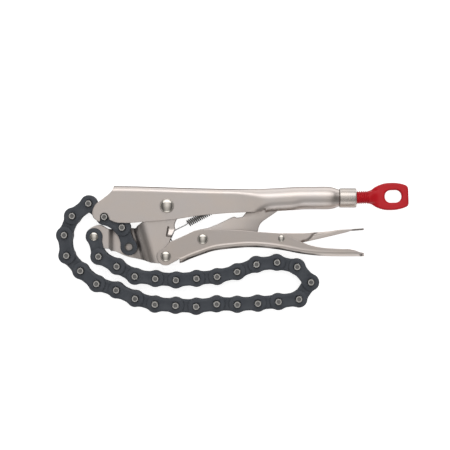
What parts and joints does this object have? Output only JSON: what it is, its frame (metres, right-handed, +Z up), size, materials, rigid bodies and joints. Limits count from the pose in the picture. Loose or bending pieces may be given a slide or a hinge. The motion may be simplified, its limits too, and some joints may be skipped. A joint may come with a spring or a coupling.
{
  "type": "locking chain clamp",
  "caption": "Locking chain clamp: toggle handles with an adjusting screw and a long roller chain that wraps round a pipe and hooks back on the nose.",
  "frame": {"origin": "centre of the tool's footprint as it lies on its side, at the level of the flat rivet tails and pin ends it rests on", "axes": "+X along the handles towards the screw's loop, +Y from the chain's loop towards the upper handle, +Z up, out of the face the picture shows"},
  "size_m": [0.2712, 0.1016, 0.0236],
  "materials": {
    "nickel": "satin nickel plate on pressed steel",
    "bright": "bright polished plate",
    "chain_steel": "blue-black oxide, lightly oiled",
    "spring_steel": "plated music wire",
    "red_paint": "smooth red coating on steel"
  },
  "bodies": {
    "frame": {"upper_body": "nickel", "ferrule": "bright", "jaw_rivet": "bright", "spring": "spring_steel"},
    "jaw": {"lower_jaw": "nickel", "lever_rivet": "bright", "chain_rivet": "bright"},
    "lever": {"lever": "nickel", "link_rivet": "bright", "release_rivet": "bright"},
    "toggle": {"toggle_link": "nickel"},
    "release_lever": {"release_lever": "nickel"},
    "tip": {"screw_tip": "chain_steel"},
    "screw": {"adjusting_screw": "red_paint"},
    "link_01": {"chain_link_01": "chain_steel"},
    "link_02": {"chain_link_02": "chain_steel"},
    "link_03": {"chain_link_03": "chain_steel"},
    "link_04": {"chain_link_04": "chain_steel"},
    "link_05": {"chain_link_05": "chain_steel"},
    "link_06": {"chain_link_06": "chain_steel"},
    "link_07": {"chain_link_07": "chain_steel"},
    "link_08": {"chain_link_08": "chain_steel"},
    "link_09": {"chain_link_09": "chain_steel"},
    "link_10": {"chain_link_10": "chain_steel"},
    "link_11": {"chain_link_11": "chain_steel"},
    "link_12": {"chain_link_12": "chain_steel"},
    "link_13": {"chain_link_13": "chain_steel"},
    "link_14": {"chain_link_14": "chain_steel"},
    "link_15": {"chain_link_15": "chain_steel"},
    "link_16": {"chain_link_16": "chain_steel"},
    "link_17": {"chain_link_17": "chain_steel"},
    "link_18": {"chain_link_18": "chain_steel"},
    "link_19": {"chain_link_19": "chain_steel"},
    "link_20": {"chain_link_20": "chain_steel"},
    "link_21": {"chain_link_21": "chain_steel"},
    "link_22": {"chain_link_22": "chain_steel"},
    "link_23": {"chain_link_23": "chain_steel"},
    "link_24": {"chain_link_24": "chain_steel"},
    "link_25": {"chain_link_25": "chain_steel"},
    "link_26": {"chain_link_26": "chain_steel"},
    "link_27": {"chain_link_27": "chain_steel"},
    "link_28": {"chain_link_28": "chain_steel"},
    "link_29": {"chain_link_29": "chain_steel"},
    "link_30": {"chain_link_30": "chain_steel"},
    "link_31": {"chain_link_31": "chain_steel"}
  },
  "joints": [
    {"name": "lever_pivot", "type": "hinge", "parent": "jaw", "child": "lever", "pos_m": [-0.05109, -0.00568, 0.0112], "axis": [0, 0, -1], "range_deg": [0, 39]},
    {"name": "jaw_pivot", "type": "hinge", "parent": "frame", "child": "jaw", "pos_m": [-0.05019, 0.03312, 0.0112], "axis": [0, 0, 1], "range_deg": [0, 9], "deforming": ["spring"]},
    {"name": "link_pivot", "type": "hinge", "parent": "lever", "child": "toggle", "pos_m": [-0.02269, 0.00762, 0.0112], "axis": [0, 0, 1], "range_deg": [0, 50]},
    {"name": "chain_pivot_01", "type": "hinge", "parent": "jaw", "child": "link_01", "pos_m": [-0.10649, 0.00952, 0.0112], "axis": [0, 0, 1], "range_deg": [-2.83, 0]},
    {"name": "chain_pivot_02", "type": "hinge", "parent": "link_01", "child": "link_02", "pos_m": [-0.10273, -0.00591, 0.0112], "axis": [0, 0, 1], "range_deg": [-3.13, 0]},
    {"name": "chain_pivot_03", "type": "hinge", "parent": "link_02", "child": "link_03", "pos_m": [-0.08878, -0.01348, 0.0112], "axis": [0, 0, 1], "range_deg": [-5.25, 0]},
    {"name": "chain_pivot_04", "type": "hinge", "parent": "link_03", "child": "link_04", "pos_m": [-0.07489, -0.02118, 0.0112], "axis": [0, 0, 1], "range_deg": [-7.99, 0]},
    {"name": "chain_pivot_05", "type": "hinge", "parent": "link_04", "child": "link_05", "pos_m": [-0.05911, -0.02292, 0.0112], "axis": [0, 0, 1], "range_deg": [-6.66, 0]},
    {"name": "chain_pivot_06", "type": "hinge", "parent": "link_05", "child": "link_06", "pos_m": [-0.04328, -0.02403, 0.0112], "axis": [0, 0, 1], "range_deg": [-4.26, 0]},
    {"name": "chain_pivot_07", "type": "hinge", "parent": "link_06", "child": "link_07", "pos_m": [-0.02745, -0.02278, 0.0112], "axis": [0, 0, 1], "range_deg": [-4.18, 0]},
    {"name": "chain_pivot_08", "type": "hinge", "parent": "link_07", "child": "link_08", "pos_m": [-0.01164, -0.0214, 0.0112], "axis": [0, 0, 1], "range_deg": [-4.18, 0]},
    {"name": "chain_pivot_09", "type": "hinge", "parent": "link_08", "child": "link_09", "pos_m": [0.00378, -0.01761, 0.0112], "axis": [0, 0, 1], "range_deg": [0, 2.83]},
    {"name": "chain_pivot_10", "type": "hinge", "parent": "link_09", "child": "link_10", "pos_m": [0.01861, -0.01195, 0.0112], "axis": [0, 0, 1], "range_deg": [0, 2.61]},
    {"name": "chain_pivot_11", "type": "hinge", "parent": "link_10", "child": "link_11", "pos_m": [0.03441, -0.0104, 0.0112], "axis": [0, 0, 1], "range_deg": [0, 2.55]},
    {"name": "chain_pivot_12", "type": "hinge", "parent": "link_11", "child": "link_12", "pos_m": [0.04991, -0.01381, 0.0112], "axis": [0, 0, 1], "range_deg": [0, 2.67]},
    {"name": "chain_pivot_13", "type": "hinge", "parent": "link_12", "child": "link_13", "pos_m": [0.06045, -0.02568, 0.0112], "axis": [0, 0, 1], "range_deg": [0, 2.99]},
    {"name": "chain_pivot_14", "type": "hinge", "parent": "link_13", "child": "link_14", "pos_m": [0.0513, -0.03865, 0.0112], "axis": [0, 0, 1], "range_deg": [0, 3.13]},
    {"name": "chain_pivot_15", "type": "hinge", "parent": "link_14", "child": "link_15", "pos_m": [0.03555, -0.04064, 0.0112], "axis": [0, 0, 1], "range_deg": [-3.68, 0]},
    {"name": "chain_pivot_29", "type": "hinge", "parent": "frame", "child": "link_29", "pos_m": [-0.09835, 0.0246, 0.0112], "axis": [0, 0, 1], "range_deg": [0, 6.91]},
    {"name": "chain_pivot_28", "type": "hinge", "parent": "link_29", "child": "link_28", "pos_m": [-0.11044, 0.03488, 0.0112], "axis": [0, 0, 1], "range_deg": [0, 2.9]},
    {"name": "chain_pivot_27", "type": "hinge", "parent": "link_28", "child": "link_27", "pos_m": [-0.12305, 0.02524, 0.0112], "axis": [0, 0, 1], "range_deg": [0, 2.75]},
    {"name": "chain_pivot_26", "type": "hinge", "parent": "link_27", "child": "link_26", "pos_m": [-0.12913, 0.01058, 0.0112], "axis": [0, 0, 1], "range_deg": [-8.66, 0]},
    {"name": "chain_pivot_25", "type": "hinge", "parent": "link_26", "child": "link_25", "pos_m": [-0.12736, -0.0052, 0.0112], "axis": [0, 0, 1], "range_deg": [-4.72, 0]},
    {"name": "chain_pivot_24", "type": "hinge", "parent": "link_25", "child": "link_24", "pos_m": [-0.11663, -0.0169, 0.0112], "axis": [0, 0, 1], "range_deg": [-3.18, 0]},
    {"name": "chain_pivot_23", "type": "hinge", "parent": "link_24", "child": "link_23", "pos_m": [-0.1043, -0.0269, 0.0112], "axis": [0, 0, 1], "range_deg": [-3.13, 0]},
    {"name": "chain_pivot_22", "type": "hinge", "parent": "link_23", "child": "link_22", "pos_m": [-0.08917, -0.03172, 0.0112], "axis": [0, 0, 1], "range_deg": [-3.15, 0]},
    {"name": "chain_pivot_21", "type": "hinge", "parent": "link_22", "child": "link_21", "pos_m": [-0.0747, -0.03825, 0.0112], "axis": [0, 0, 1], "range_deg": [-3.24, 0]},
    {"name": "chain_pivot_20", "type": "hinge", "parent": "link_21", "child": "link_20", "pos_m": [-0.05945, -0.04266, 0.0112], "axis": [0, 0, 1], "range_deg": [-5.19, 0]},
    {"name": "chain_pivot_19", "type": "hinge", "parent": "link_20", "child": "link_19", "pos_m": [-0.0436, -0.04357, 0.0112], "axis": [0, 0, 1], "range_deg": [-7.03, 0]},
    {"name": "chain_pivot_18", "type": "hinge", "parent": "link_19", "child": "link_18", "pos_m": [-0.02775, -0.04435, 0.0112], "axis": [0, 0, 1], "range_deg": [-5.44, 0]},
    {"name": "chain_pivot_17", "type": "hinge", "parent": "link_18", "child": "link_17", "pos_m": [-0.01199, -0.04241, 0.0112], "axis": [0, 0, 1], "range_deg": [0, 3.26]},
    {"name": "chain_pivot_16", "type": "hinge", "parent": "link_17", "child": "link_16", "pos_m": [0.00388, -0.0428, 0.0112], "axis": [0, 0, 1], "range_deg": [0, 5.46]},
    {"name": "chain_hook_pivot", "type": "hinge", "parent": "frame", "child": "link_30", "pos_m": [-0.09835, 0.0246, 0.0112], "axis": [0, 0, 1], "range_deg": [0, 3]},
    {"name": "chain_end_swing", "type": "hinge", "parent": "link_30", "child": "link_31", "pos_m": [-0.08473, 0.01644, 0.0112], "axis": [0, 0, -1], "range_deg": [0, 24]},
    {"name": "release_lever_pivot", "type": "hinge", "parent": "lever", "child": "release_lever", "pos_m": [0.03771, 0.00812, 0.0112], "axis": [0, 0, -1], "range_deg": [0, 8]},
    {"name": "screw_travel", "type": "slide", "parent": "frame", "child": "tip", "axis": [0.9995, 0.0332, 0], "range_m": [0, 0.00992]},
    {"name": "screw_turn", "type": "hinge", "parent": "tip", "child": "screw", "pos_m": [0.09981, 0.03968, 0.0112], "axis": [0.9995, 0.0332, 0], "range_deg": [0, 2250]}
  ],
  "couplings": [
    {"joint": "jaw_pivot", "follows": "lever_pivot", "ratio": 0.23077},
    {"joint": "link_pivot", "follows": "lever_pivot", "ratio": 1.2821},
    {"joint": "chain_pivot_01", "follows": "lever_pivot", "ratio": -0.072602},
    {"joint": "chain_pivot_02", "follows": "lever_pivot", "ratio": -0.080193},
    {"joint": "chain_pivot_03", "follows": "lever_pivot", "ratio": -0.13462},
    {"joint": "chain_pivot_04", "follows": "lever_pivot", "ratio": -0.20497},
    {"joint": "chain_pivot_05", "follows": "lever_pivot", "ratio": -0.17067},
    {"joint": "chain_pivot_06", "follows": "lever_pivot", "ratio": -0.10911},
    {"joint": "chain_pivot_07", "follows": "lever_pivot", "ratio": -0.10709},
    {"joint": "chain_pivot_08", "follows": "lever_pivot", "ratio": -0.1071},
    {"joint": "chain_pivot_09", "follows": "lever_pivot", "ratio": 0.072446},
    {"joint": "chain_pivot_10", "follows": "lever_pivot", "ratio": 0.066924},
    {"joint": "chain_pivot_11", "follows": "lever_pivot", "ratio": 0.06534},
    {"joint": "chain_pivot_12", "follows": "lever_pivot", "ratio": 0.06852},
    {"joint": "chain_pivot_13", "follows": "lever_pivot", "ratio": 0.076549},
    {"joint": "chain_pivot_14", "follows": "lever_pivot", "ratio": 0.080315},
    {"joint": "chain_pivot_15", "follows": "lever_pivot", "ratio": -0.094285},
    {"joint": "chain_pivot_29", "follows": "lever_pivot", "ratio": 0.17716},
    {"joint": "chain_pivot_28", "follows": "lever_pivot", "ratio": 0.074394},
    {"joint": "chain_pivot_27", "follows": "lever_pivot", "ratio": 0.0706},
    {"joint": "chain_pivot_26", "follows": "lever_pivot", "ratio": -0.22203},
    {"joint": "chain_pivot_25", "follows": "lever_pivot", "ratio": -0.12104},
    {"joint": "chain_pivot_24", "follows": "lever_pivot", "ratio": -0.081615},
    {"joint": "chain_pivot_23", "follows": "lever_pivot", "ratio": -0.080227},
    {"joint": "chain_pivot_22", "follows": "lever_pivot", "ratio": -0.080783},
    {"joint": "chain_pivot_21", "follows": "lever_pivot", "ratio": -0.083159},
    {"joint": "chain_pivot_20", "follows": "lever_pivot", "ratio": -0.1331},
    {"joint": "chain_pivot_19", "follows": "lever_pivot", "ratio": -0.1803},
    {"joint": "chain_pivot_18", "follows": "lever_pivot", "ratio": -0.1394},
    {"joint": "chain_pivot_17", "follows": "lever_pivot", "ratio": 0.083617},
    {"joint": "chain_pivot_16", "follows": "lever_pivot", "ratio": 0.14003},
    {"joint": "screw_turn", "follows": "screw_travel", "rad_per_m": 3957.9}
  ]
}
